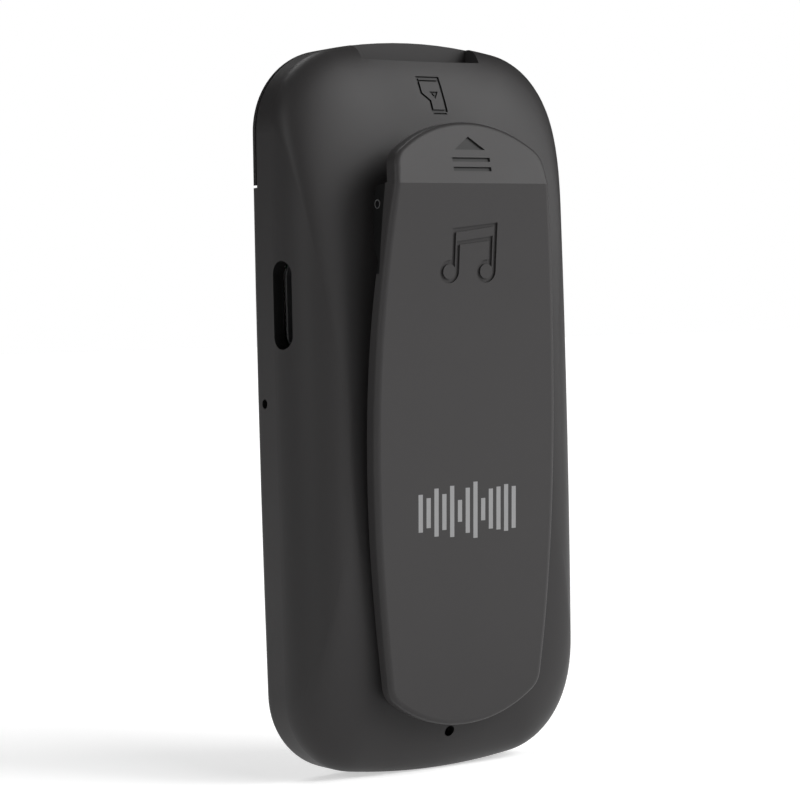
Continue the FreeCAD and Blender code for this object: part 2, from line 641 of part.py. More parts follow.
def make_keys():
    ring_keys = {"next_key": 0, "volume_up_key": 90, "previous_key": 180, "volume_down_key": 270}
    for name, middle in ring_keys.items():
        cap = sector(RING_INNER_R, RING_R, middle, KEY_SPLIT, -KEY_PROUD, FLANGE_DEPTHS[0])
        flange = sector(CENTRE_R + FLANGE, RING_R + FLANGE, middle, KEY_SPLIT, *FLANGE_DEPTHS)
        nodes[name] = fuse([soften_top(cap, KEY_EDGE_R), flange])
    cap = disc(0, RING_Z, CENTRE_R, -KEY_PROUD, CENTRE_FLANGE_DEPTHS[0])
    flange = disc(0, RING_Z, CENTRE_R + CENTRE_FLANGE, *CENTRE_FLANGE_DEPTHS)
    nodes["centre_key"] = fuse([soften_top(cap, CENTRE_EDGE_R), flange])
    for name, sign in (("menu_key", -1), ("back_key", 1)):
        x, wider = sign * PILL_X, 2 * PILL_FLANGE
        cap = pill_y(x, PILL_Z, PILL_LENGTH, PILL_WIDTH, -KEY_PROUD, FLANGE_DEPTHS[0])
        flange = pill_y(x, PILL_Z, PILL_LENGTH + wider, PILL_WIDTH + wider, *FLANGE_DEPTHS)
        nodes[name] = fuse([soften_top(cap, KEY_EDGE_R), flange])


def key_sheet(size, d0, d1):
    """A round sheet under the ring keys that runs up under the pill keys."""
    radius, half, past = size
    return fuse([disc(0, RING_Z, radius, d0, d1), box(-half, half, d0, d1, RING_Z, PILL_Z + past)])


def make_key_sheets():
    presses = [(PRESS_R, RING_Z), (-PRESS_R, RING_Z), (0, RING_Z + PRESS_R), (0, RING_Z - PRESS_R),
               (0, RING_Z), (PILL_X, PILL_Z), (-PILL_X, PILL_Z)]
    nubs = [disc(x, z, NUB_R, *NUB_DEPTHS) for x, z in presses]
    nodes["key_membrane"] = fuse([key_sheet(MEMBRANE, *MEMBRANE_DEPTHS)] + nubs)
    sheet = key_sheet(SHEET, SHEET_FRONT, BOARD_FRONT)
    for x, z in presses:
        sheet = sheet.fuse(Part.makeCone(*DOME, Vector(x, depth_y(SHEET_FRONT), z), Vector(0, -1, 0)))
    nodes["dome_sheet"] = sheet


def make_screws():
    length, width, floor = SCREW_SLOT
    screws = []
    for x, z in SCREW_PLACES:
        head = disc(x, z, SCREW_HEAD_R, BOARD_FRONT - SCREW_HEAD_HEIGHT, BOARD_FRONT)
        shank = disc(x, z, SCREW_R, BOARD_FRONT - GAP, SCREW_END)
        slot = box(x - length, x + length, 0, floor, z - width, z + width)
        screws.append(fuse([head, shank]).cut(slot))
    nodes["case_screws"] = Part.makeCompound(screws)


# ---- Clip ----
def spline(points):
    curve = Part.BSplineCurve()
    curve.interpolate(points)
    return curve.toShape()


def clip_profile(x, sink):
    """Closed side profile of the clip; sink lowers the outer face."""
    def at(z, height):
        return Vector(x, back_y(height), z)

    ridge = at(RIDGE_Z, CLIP_RIDGE - sink)
    inner_top, pad_top = at(PAD_TOP_Z, PAD_HEIGHTS[0]), at(PAD_TOP_Z, PAD_HEIGHTS[1] - sink)
    outer_points = [ridge] + [at(z, h - sink) for z, h in OUTER_LINE]
    inner_points = [at(z, h) for z, h in reversed(INNER_LINE)] + [at(RIDGE_Z, RIDGE_INNER)]
    outer, inner = spline(outer_points), spline(inner_points)
    lines = [(outer_points[-1], inner_points[0]), (inner_points[-1], inner_top), (inner_top, pad_top),
             (pad_top, ridge)]
    segments = [Part.LineSegment(a, b).toShape() for a, b in lines]
    return Part.Wire([outer, segments[0], inner] + segments[1:])


def clip_outline():
    """Rounded outline of the clip, solid along Y."""
    top, bottom = (CLIP_TOP_HALF, CLIP_SHOULDER_Z), (CLIP_FOOT_HALF, CLIP_FOOT_Z)
    y = depth_y(6)

    def v(x, z):
        return Vector(x, y, z)

    def arc(a, b, c):
        return Part.Arc(v(*a), v(*b), v(*c)).toShape()

    wire = Part.Wire([
        arc(bottom, CLIP_WAIST, top),
        arc(top, (0, CLIP_TOP_Z), (-top[0], top[1])),
        arc((-top[0], top[1]), (-CLIP_WAIST[0], CLIP_WAIST[1]), (-bottom[0], bottom[1])),
        arc((-bottom[0], bottom[1]), (0, CLIP_BOTTOM_Z), bottom),
    ])
    solid = Part.Face(wire).extrude(Vector(0, 16, 0))
    return round_edges(solid, CLIP_CORNER_R, Vector(0, 1, 0))


def note_symbol():
    """Beamed pair of music notes, drawn as a groove outline."""
    def note(grow):
        width, height = NOTE_STEM
        parts = []
        for x in reversed(NOTE_X):
            stem = x - NOTE_HEAD_R
            parts.append(disc(x, NOTE_Z, NOTE_HEAD_R + grow, 0, REACH))
            parts.append(box(stem - grow, stem + width + grow, 0, REACH, NOTE_Z, NOTE_Z + height + grow))
        left, right = NOTE_X[0] - NOTE_HEAD_R - grow, NOTE_X[1] - NOTE_HEAD_R + width + grow
        low, high = NOTE_Z + NOTE_BEAM[0] - grow, NOTE_Z + NOTE_BEAM[1] + grow
        parts.append(prism_y([(left, low + NOTE_SLOPE), (right, low - NOTE_SLOPE),
                              (right, high - NOTE_SLOPE), (left, high + NOTE_SLOPE)], 0, REACH))
        return fuse(parts)
    return note(NOTE_LINE).cut(note(-NOTE_LINE))


def pad_marks():
    """Arrow and two bars on the thumb pad."""
    base, low, tip = PAD_ARROW
    length, width = PAD_BAR
    arrow = prism_y([(-base, low), (base, low), (0, tip)], 0, REACH)
    return [arrow] + [box(-length, length, 0, REACH, z - width, z + width) for z in PAD_BARS_Z]


def make_clip():
    plate_solid = Part.Face(clip_profile(-20, 0)).extrude(Vector(40, 0, 0))
    cheeks = []
    for sign in (-1, 1):
        x0, x1 = sorted((sign * CHEEK_X, sign * CHEEK_OUTER_X))
        cheeks.append(prism_x([(DEPTH + height, z) for height, z in CHEEK_SHAPE], x0, x1))
    rib = prism_x([(DEPTH + height, z) for height, z in RIB_SHAPE], -RIB_HALF, RIB_HALF)
    clip = fuse([plate_solid] + cheeks + [rib]).common(clip_outline())
    top_edges = []
    for edge in clip.Edges:
        box_ = edge.BoundBox
        mid = edge.valueAt((edge.FirstParameter + edge.LastParameter) / 2)
        on_outer = mid.y > outer_y(mid.z) - 0.02
        across = box_.ZLength < 0.01 and abs(mid.z - RIDGE_Z) < 0.01
        if on_outer and not across:
            top_edges.append(edge)
    clip = clip.makeFillet(CLIP_EDGE_R, top_edges)
    axis = DEPTH + PIN_HEIGHT
    clip = clip.cut(rod_x(-CHEEK_X, CHEEK_X, axis, PIN_Z, EAR_R + EAR_CLEARANCE))
    clip = clip.cut(rod_x(-20, 20, axis, PIN_Z, PIN_R))
    sunk = Part.Face(clip_profile(-20, ENGRAVING)).extrude(Vector(40, 0, 0))
    layer = plate_solid.cut(sunk)
    for symbol in [note_symbol()] + pad_marks():
        clip = clip.cut(symbol.common(layer))
    nodes["clip"] = clip
    nodes["hinge_pin"] = rod_x(-PIN_HALF, PIN_HALF, axis, PIN_Z, PIN_R)


def outer_y(z):
    """Y of the clip's outer face at one height, read from its profile."""
    if z >= RIDGE_Z:
        slope = (CLIP_RIDGE - PAD_HEIGHTS[1]) / (PAD_TOP_Z - RIDGE_Z)
        return back_y(CLIP_RIDGE - (z - RIDGE_Z) * slope)
    curve = Part.BSplineCurve()
    points = ((RIDGE_Z, CLIP_RIDGE),) + OUTER_LINE
    curve.interpolate([Vector(0, back_y(h), zz) for zz, h in points])
    cut = curve.intersectCC(Part.Line(Vector(0, -50, z), Vector(0, 50, z)))
    return cut[0].Y if cut else back_y(0)


def make_clip_spring():
    length = SPRING_PITCH * SPRING_TURNS
    helix = Part.makeHelix(SPRING_PITCH, length, SPRING_COIL_R)
    ring = Part.Wire(Part.makeCircle(SPRING_WIRE_R, Vector(SPRING_COIL_R, 0, 0), Vector(0, 1, 0)))
    coil = Part.Wire(helix).makePipeShell([ring], True, True)
    coil.rotate(Vector(0, 0, 0), Vector(0, 1, 0), 90)
    coil.translate(Vector(-length / 2, depth_y(DEPTH + PIN_HEIGHT), PIN_Z))
    nodes["clip_spring"] = coil


# ---- Build and write ----
def main():
    skin = make_rear_cover()
    make_front(skin)
    make_display()
    make_board()
    make_battery()
    make_charging_port()
    make_card_socket()
    make_headphone_jack()
    make_power_switch()
    make_reset_switch()
    make_microphone()
    make_keys()
    make_key_sheets()
    make_screws()
    make_clip()
    make_clip_spring()
    os.makedirs("parts", exist_ok=True)
    for name, shape in nodes.items():
        shape.translate(Vector(0, 0, -DATUM))
        size = shape.BoundBox
        print("%-18s valid %s solids %d  %.1f mm3  x %.2f %.2f  y %.2f %.2f  z %.2f %.2f" % (
            name, shape.isValid(), len(shape.Solids), shape.Volume,
            size.XMin, size.XMax, size.YMin, size.YMax, size.ZMin, size.ZMax))
        shape.exportStep("parts/" + name + ".step")


main()
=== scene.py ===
import math

import bpy
from mathutils import Matrix, Vector


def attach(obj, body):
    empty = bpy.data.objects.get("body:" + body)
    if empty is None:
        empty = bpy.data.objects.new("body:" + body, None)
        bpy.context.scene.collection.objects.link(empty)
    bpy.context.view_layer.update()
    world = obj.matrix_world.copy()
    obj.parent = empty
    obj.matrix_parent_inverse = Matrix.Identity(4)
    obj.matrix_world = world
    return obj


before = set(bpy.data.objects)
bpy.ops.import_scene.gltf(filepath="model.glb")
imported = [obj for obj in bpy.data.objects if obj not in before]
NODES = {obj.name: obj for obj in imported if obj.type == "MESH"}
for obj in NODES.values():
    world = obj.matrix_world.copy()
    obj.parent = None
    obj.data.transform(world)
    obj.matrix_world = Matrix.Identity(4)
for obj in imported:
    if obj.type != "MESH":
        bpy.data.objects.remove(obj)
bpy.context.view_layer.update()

MM = 0.001

# All places and sizes below are in millimetres, as in the CAD model.
FACE_Y = -7.9                       # front plane of the case
BACK_Y = FACE_Y + 11.0
DATUM = 0.35                        # the case's lowest point above the height datum
SIDE_X = 12.0                       # everything in the sides is further out than this

PORT_Y = FACE_Y + 5.96
PORT_Z = 51.1 - DATUM
PORT_HOLE = (4.65, 1.45)            # half length and radius, just outside the opening's walls
PORT_RIM_X = 16.45
PORT_RIM_HALF = 3.6                 # the straight part of the rim
RESET_Y = FACE_Y + 2.2
RESET_Z = 40.74 - DATUM
RESET_R = 0.53
MICROPHONE_Z = 4.84 - DATUM
MICROPHONE_R = 0.61
TONGUE_HALF = 0.35
TONGUE_X = (11.0, 15.8)
PORT_CONTACTS = 12
PORT_CONTACT_PITCH = 0.5
PORT_CONTACT_HALF = 0.13
CARD_CONTACTS = 8
CARD_CONTACT_PITCH = 1.1
CARD_CONTACT_HALF = 0.3
CARD_CONTACT_Y = (FACE_Y + 5.35, FACE_Y + 5.54)
CARD_CONTACT_Z = (62.0, 68.0)

PIN_Y = BACK_Y + 1.8
PIN_Z = 61.35 - DATUM
PIN_MIDDLE_R = 0.38                 # inside the bright edge of the pin's end
PIN_END_X = 10.0
COIL_R = 0.85
LEG_X = 4.5
LEG_R = 0.2
CHEEK_X = 7.9
CHEEK_TOP_Y = BACK_Y + 2.95
CHEEK_Z = 59.3 - DATUM
CHEEK_HALF = 5.2

PRINT_Z = 28.9 - DATUM
PRINT_HALF = 6.5                    # half the width of the row of bars
BAR_HALF = 0.27
BAR_SHIFT = 50.5                    # puts a bar at x = 0 and keeps the column numbers positive
PRINT_Y = BACK_Y + 1.2              # the outer face of the clip is behind this
PAD_Y = BACK_Y + 2.8
PAD_ARROW = (66.95 - DATUM, 68.35 - DATUM, 1.95)    # base, tip, half its base
PAD_BARS_Z = (65.9 - DATUM, 64.9 - DATUM)
PAD_BAR = (2.4, 0.22)               # half length and half width
CARD_LEFT, CARD_RIGHT = -1.275, 1.425
CARD_LOW, CARD_HIGH = 71.555 - DATUM, 75.155 - DATUM
CARD_STEP = 0.9
CARD_CORNER = (1.08, 1.88)          # where the cut corner starts and ends, above the low edge
CARD_LEAN = 0.1
CARD_LINE = 0.15                    # half the width of the engraved line
CARD_MIDDLE = CARD_LOW + 1.75
CARD_Y = FACE_Y + 5                 # the engraved part of the back is behind this

RING_Z = 24.5 - DATUM
MARK_R = 9.4                        # from the middle of the ring to its symbols
PILL_X = 9.0
PILL_Z = 41.6 - DATUM
THIN_LINE = 0.22                    # half the width of the plus and minus strokes
KEY_FACE_Y = FACE_Y - 0.15          # only the keys' caps are in front of this


# ---------- Shader fields: small arithmetic on object coordinates, in millimetres ----------
class Field:
    """A number that varies over a surface, built from maths nodes."""

    def __init__(self, tree, socket):
        self.tree = tree
        self.socket = socket

    def op(self, kind, *others):
        node = self.tree.nodes.new("ShaderNodeMath")
        node.operation = kind
        for index, value in enumerate((self,) + others):
            if isinstance(value, Field):
                self.tree.links.new(value.socket, node.inputs[index])
            else:
                node.inputs[index].default_value = value
        return Field(self.tree, node.outputs[0])

    def __add__(self, other):
        return self.op("ADD", other)

    def __sub__(self, other):
        return self.op("SUBTRACT", other)

    def __mul__(self, other):
        return self.op("MULTIPLY", other)

    def below(self, other):
        return self.op("LESS_THAN", other)

    def above(self, other):
        return self.op("GREATER_THAN", other)

    def size(self):
        return self.op("ABSOLUTE")

    def either(self, other):
        return self.op("MAXIMUM", other)

    def both(self, other):
        return self.op("MINIMUM", other)

    def within(self, middle, half):
        return (self - middle).size().below(half)


def blank(name):
    material = bpy.data.materials.new(name)
    material.use_nodes = True
    return material, material.node_tree, material.node_tree.nodes["Principled BSDF"]


def coordinates(tree):
    """Object coordinates as x, y and z fields in millimetres, and the raw vector socket."""
    source = tree.nodes.new("ShaderNodeTexCoord").outputs["Object"]
    scale = tree.nodes.new("ShaderNodeVectorMath")
    scale.operation = "SCALE"
    scale.inputs["Scale"].default_value = 1000
    tree.links.new(source, scale.inputs[0])
    split = tree.nodes.new("ShaderNodeSeparateXYZ")
    tree.links.new(scale.outputs[0], split.inputs[0])
    return [Field(tree, split.outputs[i]) for i in range(3)], scale.outputs[0]


def noise(tree, vector, scale, detail=3.0, rough=0.55):
    node = tree.nodes.new("ShaderNodeTexNoise")
    node.inputs["Scale"].default_value = scale
    node.inputs["Detail"].default_value = detail
    node.inputs["Roughness"].default_value = rough
    tree.links.new(vector, node.inputs["Vector"])
    return Field(tree, node.outputs["Fac"])


def remap(tree, field, low, high):
    node = tree.nodes.new("ShaderNodeMapRange")
    node.inputs["From Min"].default_value = 0.3
    node.inputs["From Max"].default_value = 0.7
    node.inputs["To Min"].default_value = low
    node.inputs["To Max"].default_value = high
    tree.links.new(field.socket, node.inputs["Value"])
    return Field(tree, node.outputs["Result"])


def blend(tree, factor, first, second):
    """Colour mix; first and second are colours or sockets."""
    node = tree.nodes.new("ShaderNodeMix")
    node.data_type = "RGBA"
    tree.links.new(factor.socket, node.inputs[0])
    for slot, value in ((node.inputs[6], first), (node.inputs[7], second)):
        if isinstance(value, tuple):
            slot.default_value = value + (1.0,)
        else:
            tree.links.new(value, slot)
    return node.outputs[2]


def bump(tree, shader, height, strength, distance_mm):
    node = tree.nodes.new("ShaderNodeBump")
    node.inputs["Strength"].default_value = strength
    node.inputs["Distance"].default_value = distance_mm * MM
    tree.links.new(height.socket, node.inputs["Height"])
    tree.links.new(node.outputs[0], shader.inputs["Normal"])


def surface(name, colour, rough, metallic=0.0, spread=0.12, grain=9.0, grain_depth=0.01, patch=0.25,
            specular=0.5, coat=0.0, coat_rough=0.1, sheen=0.0, marks=(), stretch=None):
    """A mottled, finely grained surface. Each mark is a mask, made from x, y and z fields, and a colour."""
    material, tree, shader = blank(name)
    (x, y, z), vector = coordinates(tree)
    if stretch:
        node = tree.nodes.new("ShaderNodeVectorMath")
        node.operation = "MULTIPLY"
        node.inputs[1].default_value = stretch
        tree.links.new(vector, node.inputs[0])
        vector = node.outputs[0]
    broad = noise(tree, vector, patch, 4.0)
    fine = noise(tree, vector, grain, 5.0, 0.65)
    dark = tuple(c * (1 - spread) for c in colour)
    light = tuple(min(1.0, c * (1 + spread)) for c in colour)
    base = blend(tree, broad * 0.6 + fine * 0.4, dark, light)
    for mask, mark_colour in marks:
        base = blend(tree, mask(x, y, z), base, mark_colour)
    tree.links.new(base, shader.inputs["Base Color"])
    tree.links.new(remap(tree, broad * 0.5 + fine * 0.5, rough * 0.9, min(1.0, rough * 1.1)).socket,
                   shader.inputs["Roughness"])
    shader.inputs["Metallic"].default_value = metallic
    shader.inputs["Specular IOR Level"].default_value = specular
    shader.inputs["Coat Weight"].default_value = coat
    shader.inputs["Coat Roughness"].default_value = coat_rough
    shader.inputs["Sheen Weight"].default_value = sheen
    shader.inputs["Sheen Roughness"].default_value = 0.5
    bump(tree, shader, fine, 0.6, grain_depth)
    return material


# ---------- Printed marks, and painted shade and highlights ---
def level_bars(x, y, z):
    """A row of level bars, one to a millimetre, printed on the clip."""
    cell = (x + BAR_SHIFT).op("FRACT") - 0.5
    column = (x + BAR_SHIFT).op("FLOOR")
    height = (column * 1.9).op("SINE").size() * 1.5 + (column * 0.83).op("COSINE").size() * 1.3 + 0.35
    bars = cell.size().below(BAR_HALF).both((z - PRINT_Z).size().below(height))
    bars = bars.both(x.within(0.0, PRINT_HALF))
    return bars.both(y.above(PRINT_Y))


def triangle(x, z, tip_x, base_x, middle_z, half):
    """Triangle pointing along X from base_x to tip_x."""
    slope = half / (tip_x - base_x)
    inside = (z - middle_z).size().below((x * -slope) + tip_x * slope)
    side = x.above(base_x) if tip_x > base_x else x.below(base_x)
    return inside.both(side)


def stroke(x, z, start, end, half):
    """A straight stroke with square ends in the XZ plane."""
    run, rise = end[0] - start[0], end[1] - start[1]
    length = math.hypot(run, rise)
    run, rise = run / length, rise / length
    along = (x - start[0]) * run + (z - start[1]) * rise
    across = (x - start[0]) * -rise + (z - start[1]) * run
    return across.size().below(half).both((along - length / 2).size().below(length / 2 + half))


def card_symbol_shade(x, y, z):
    """Painted shade: the floor of the engraved memory-card symbol, painted darker for the shade in its
    grooves.
    """
    low, middle, step = CARD_LOW - CARD_HIGH, CARD_MIDDLE - CARD_HIGH, CARD_RIGHT - CARD_STEP
    points = [(CARD_LEFT, low), (step, low), (step, low + CARD_CORNER[0]),
              (CARD_RIGHT, low + CARD_CORNER[1]), (CARD_RIGHT, 0), (CARD_LEFT, 0)]
    lines = list(zip(points, points[1:] + points[:1]))
    lines += [((CARD_LEFT + 0.1, -0.35), (CARD_RIGHT - 0.1, -0.35)),
              ((CARD_LEFT + 0.1, low - 0.32), (step - 0.1, low - 0.32))]
    level = z - CARD_HIGH
    upright = x - level * CARD_LEAN
    width = (level - (middle - 0.45)) * 0.7
    mask = (upright + 0.2).size().below(width).both(level.below(middle + 0.38))
    for start, end in lines:
        mask = mask.either(stroke(upright, level, start, end, CARD_LINE))
    return mask.both(y.above(CARD_Y))


def pad_symbol_shade(x, y, z):
    """Painted shade: the floor of the arrow and the two bars on the thumb pad, painted darker for the shade
    in their grooves.
    """
    base, tip, half = PAD_ARROW
    length, width = PAD_BAR
    upper, lower = PAD_BARS_Z
    arrow = x.size().below((z * -1 + tip) * (half / (tip - base))).both(z.above(base))
    bars = z.within(upper, width).either(z.within(lower, width)).both(x.within(0, length))
    return arrow.either(bars).both(y.above(PAD_Y))


def cheek_shade(x, y, z):
    """Painted shade: the hinge cheeks under the clip, painted near black for the shade under the clip."""
    return y.below(CHEEK_TOP_Y).both(z.within(CHEEK_Z, CHEEK_HALF)).both(x.size().above(CHEEK_X))


def pill(along, across, half_length, radius):
    """A pill-shaped area; a round one if half_length is the radius."""
    reach = (along.size() - (half_length - radius)).op("MAXIMUM", 0.0)
    return (reach * reach + across * across).below(radius * radius)


def hole_wall_shade(x, y, z):
    """Painted shade: the walls of the charging, reset and microphone openings, painted near black as unlit.
    """
    port = pill(z - PORT_Z, y - PORT_Y, *PORT_HOLE)
    reset = pill(z - RESET_Z, y - RESET_Y, RESET_R, RESET_R)
    microphone = pill(z - MICROPHONE_Z, x, MICROPHONE_R, MICROPHONE_R)
    return port.either(reset).both(x.above(SIDE_X)).either(microphone.both(y.above(0.0)))


def on_front(y, mask):
    return mask.both(y.below(KEY_FACE_Y))


def play_pause(x, y, z):
    arrow = triangle(x, z, 0.5, -1.5, RING_Z, 1.3)
    bars = (x - 1.4).size().below(0.85).both((x - 1.4).size().above(0.3)).both(z.within(RING_Z, 1.3))
    return on_front(y, arrow.either(bars))


def skip_mark(direction):
    def mask(x, y, z):
        middle = MARK_R * direction
        first = triangle(x, z, middle + 0.2 * direction, middle - 1.3 * direction, RING_Z, 1.0)
        second = triangle(x, z, middle + 1.7 * direction, middle + 0.2 * direction, RING_Z, 1.0)
        bar = x.within(middle + 1.95 * direction, 0.17).both(z.within(RING_Z, 1.0))
        return on_front(y, first.either(second).either(bar))
    return mask


def plus_mark(x, y, z):
    middle = RING_Z + MARK_R
    level = x.within(0, 1.2).both(z.within(middle, THIN_LINE))
    return on_front(y, level.either(x.within(0, THIN_LINE).both(z.within(middle, 1.2))))


def minus_mark(x, y, z):
    return on_front(y, x.within(0, 1.2).both(z.within(RING_Z - MARK_R, THIN_LINE)))


def menu_mark(x, y, z):
    lines = z.within(PILL_Z, 0.1).either(z.within(PILL_Z + 0.55, 0.1)).either(z.within(PILL_Z - 0.55, 0.1))
    return on_front(y, lines.both(x.within(-PILL_X, 0.9)))


def back_mark(x, y, z):
    arrow = triangle(x, z, PILL_X - 1.0, PILL_X - 0.1, PILL_Z, 0.65)
    return on_front(y, arrow.either(x.within(PILL_X + 0.4, 0.6).both(z.within(PILL_Z, 0.14))))


def display_area(x, y, z):
    """The active part of the display, just seen through the dark window."""
    return x.within(0, 12.6).both(z.within(60.4 - DATUM, 9.6)).both(y.below(FACE_Y + 0.3))


def window_rim_sheen(x, y, z):
    """Painted sheen: the edge of the window, where it wraps round the side, painted grey for the sheen of a
    satin edge.
    """
    return y.above(FACE_Y + 0.3)


def shell_rim_glint(x, y, z):
    """Painted highlight: the straight lips of the charging shell's rim, painted lighter for their glint."""
    return x.above(PORT_RIM_X - 0.05).both(z.within(PORT_Z, PORT_RIM_HALF))


def pin_end_shade(x, y, z):
    """Painted shade: the middle of the hinge pin's ends, painted dark inside a bright edge so that the edge
    reads as a glint.
    """
    across, up = y - PIN_Y, z - PIN_Z
    return (across * across + up * up).below(PIN_MIDDLE_R * PIN_MIDDLE_R).both(x.size().above(PIN_END_X))


def tracks(x, y, z):
    """Copper tracks under the solder mask."""
    lines = ((x + z * 0.5) * 0.9).op("SINE").size().below(0.12)
    return lines.either((z * 1.3 - x * 0.2).op("SINE").size().below(0.08))


def cell_label(x, y, z):
    """A framed panel of plain lines on the battery."""
    outer = x.within(0, 8.0).both(z.within(30.0, 5.0))
    inner = x.within(0, 7.7).both(z.within(30.0, 4.7))
    rules = x.within(0, 5).both((z * 1.6).op("SINE").above(0.9)).both(z.within(30, 4))
    return (outer - inner).either(rules)


# ---------- Materials ----------
CASE = (0.0215, 0.0205, 0.0207)
# Painted light: the clip is the case's plastic, painted lighter than the case for the light on its face.
CLIP_PAINTED_LIGHTER = (0.0283, 0.0271, 0.0273)
# Painted shade for the floors of engraved marks.
GROOVE_SHADE = (0.009, 0.0088, 0.0088)
# Painted shade: near black, painted where shade falls.
UNLIT = (0.004, 0.004, 0.004)
PRINT = (0.62, 0.62, 0.63)
TOUCH = dict(rough=0.45, spread=0.06, grain=7.0, grain_depth=0.006, patch=0.12, specular=0.15)
LOOKS = {
    # Painted shade in the card symbol's grooves and on the openings' walls.
    "case": surface("soft_touch_case", CASE, marks=((card_symbol_shade, GROOVE_SHADE), (hole_wall_shade, UNLIT)), **TOUCH),
    # The clip's plastic is painted lighter for the light on its face; painted shade fills the pad's marks
    # and the hinge cheeks.
    "clip": surface("soft_touch_clip_painted_lighter", CLIP_PAINTED_LIGHTER, marks=((level_bars, (0.19, 0.19, 0.192)), (pad_symbol_shade, GROOVE_SHADE),
                                                    (cheek_shade, UNLIT)), **TOUCH),
    "front": surface("front_satin", (0.022, 0.022, 0.024), 0.42, spread=0.08),
    # Painted sheen on the window's edge, where it wraps round the side.
    "window": surface("window_gloss", (0.004, 0.004, 0.005), 0.06, spread=0.05, grain_depth=0.0004,
                      coat=0.6, coat_rough=0.03,
                      marks=((display_area, (0.012, 0.014, 0.019)), (window_rim_sheen, (0.03, 0.029, 0.029)))),
    "foam": surface("black_foam", (0.02, 0.02, 0.02), 0.9, grain=4.0, grain_depth=0.08),
    "glass": surface("display_glass", (0.01, 0.012, 0.018), 0.05, coat=0.5, coat_rough=0.02,
                     grain_depth=0.0004),
    "moulded": surface("moulded_white", (0.68, 0.68, 0.65), 0.5),
    "film": surface("amber_film", (0.42, 0.19, 0.03), 0.3, coat=0.4),
    "board": surface("solder_mask", (0.010, 0.085, 0.035), 0.32, coat=0.3,
                     marks=((tracks, (0.02, 0.14, 0.06)),)),
    "package": surface("chip_package", (0.025, 0.025, 0.027), 0.6, grain=14.0),
    "ceramic": surface("ceramic_parts", (0.42, 0.33, 0.24), 0.5, grain=10.0),
    "steel": surface("stamped_steel", (0.56, 0.56, 0.57), 0.3, metallic=1.0, stretch=(1, 1, 0.1),
                     grain_depth=0.003),
    # Painted shade: the charging shell's steel, painted near black for the shade inside its opening; the
    # lips of its rim are painted lighter as a highlight.
    "steel_painted_dark": surface("charge_steel_painted_dark", (0.03, 0.03, 0.032), 0.35, metallic=0.4, grain_depth=0.002,
                          marks=((shell_rim_glint, (0.075, 0.075, 0.076)),)),
    "bright": surface("ground_steel", (0.80, 0.80, 0.81), 0.38, metallic=1.0, stretch=(0.1, 1, 1),
                      grain_depth=0.002),
    # Painted shade in the middle of the pin's ends.
    "pin": surface("hinge_pin_steel", (0.62, 0.62, 0.63), 0.3, metallic=1.0, grain_depth=0.002,
                   marks=((pin_end_shade, (0.05, 0.05, 0.052)),)),
    "spring": surface("spring_wire", (0.42, 0.42, 0.44), 0.28, metallic=1.0, grain_depth=0.003),
    "foil": surface("battery_foil", (0.60, 0.61, 0.63), 0.35, metallic=1.0, grain=1.2, grain_depth=0.04,
                    marks=((cell_label, (0.05, 0.05, 0.06)),)),
    "wire": surface("wire_insulation", (0.35, 0.015, 0.015), 0.45),
    "gold": surface("gold_plating", (0.80, 0.56, 0.20), 0.22, metallic=1.0, grain_depth=0.002),
    "moulding": surface("socket_moulding", (0.02, 0.02, 0.021), 0.5),
    "silicone": surface("silicone_mat", (0.27, 0.28, 0.30), 0.7, sheen=0.1),
}


def key_look(name, mark):
    return surface(name, (0.026, 0.026, 0.029), 0.33, spread=0.06, grain_depth=0.004, coat=0.15,
                   coat_rough=0.2, marks=((mark, PRINT),))


NODE_LOOK = {
    "rear_cover": "case", "front_panel": "front", "display_window": "window", "window_gasket": "foam",
    "display_panel": "glass", "display_holder": "moulded", "display_flex": "film", "main_board": "board",
    "main_chip": "package", "flash_chip": "package", "radio_chip": "package", "crystal": "steel",
    "board_parts": "ceramic", "battery": "foil", "battery_pad": "foam", "battery_connector": "moulded",
    "battery_leads": "wire", "charge_shell": "steel_painted_dark", "charge_tongue": "moulding",
    "card_socket": "steel", "jack_housing": "moulding", "jack_collar": "bright", "jack_contacts": "gold",
    "switch_base": "steel", "switch_knob": "front", "reset_switch": "moulding",
    "reset_plunger": "moulding", "microphone": "steel", "microphone_boot": "foam",
    "key_membrane": "silicone", "dome_sheet": "steel", "case_screws": "steel", "clip": "clip",
    "hinge_pin": "pin", "clip_spring": "spring",
}
KEY_MARKS = {
    "next_key": skip_mark(1), "previous_key": skip_mark(-1), "volume_up_key": plus_mark,
    "volume_down_key": minus_mark, "centre_key": play_pause, "menu_key": menu_mark, "back_key": back_mark,
}


def paint(obj, material):
    obj.data.materials.clear()
    obj.data.materials.append(material)


def smooth(obj, degrees=32):
    for polygon in obj.data.polygons:
        polygon.use_smooth = True
    obj.data.set_sharp_from_angle(angle=math.radians(degrees))


for node_name, obj in NODES.items():
    if node_name in KEY_MARKS:
        paint(obj, key_look(node_name + "_print", KEY_MARKS[node_name]))
    else:
        paint(obj, LOOKS[NODE_LOOK[node_name]])
    smooth(obj)


# ---------- Small pieces that only the looks need ----------
def wire(name, points, radius_mm, material, body):
    """A bent round wire through points in millimetres."""
    curve = bpy.data.curves.new(name, "CURVE")
    curve.dimensions = "3D"
    curve.bevel_depth = radius_mm * MM
    curve.bevel_resolution = 4
    curve.use_fill_caps = True
    line = curve.splines.new("POLY")
    line.points.add(len(points) - 1)
    for point, place in zip(line.points, points):
        point.co = (place[0] * MM, place[1] * MM, place[2] * MM, 1)
    obj = bpy.data.objects.new(name, curve)
    bpy.context.scene.collection.objects.link(obj)
    curve.materials.append(material)
    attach(obj, body)
    return obj


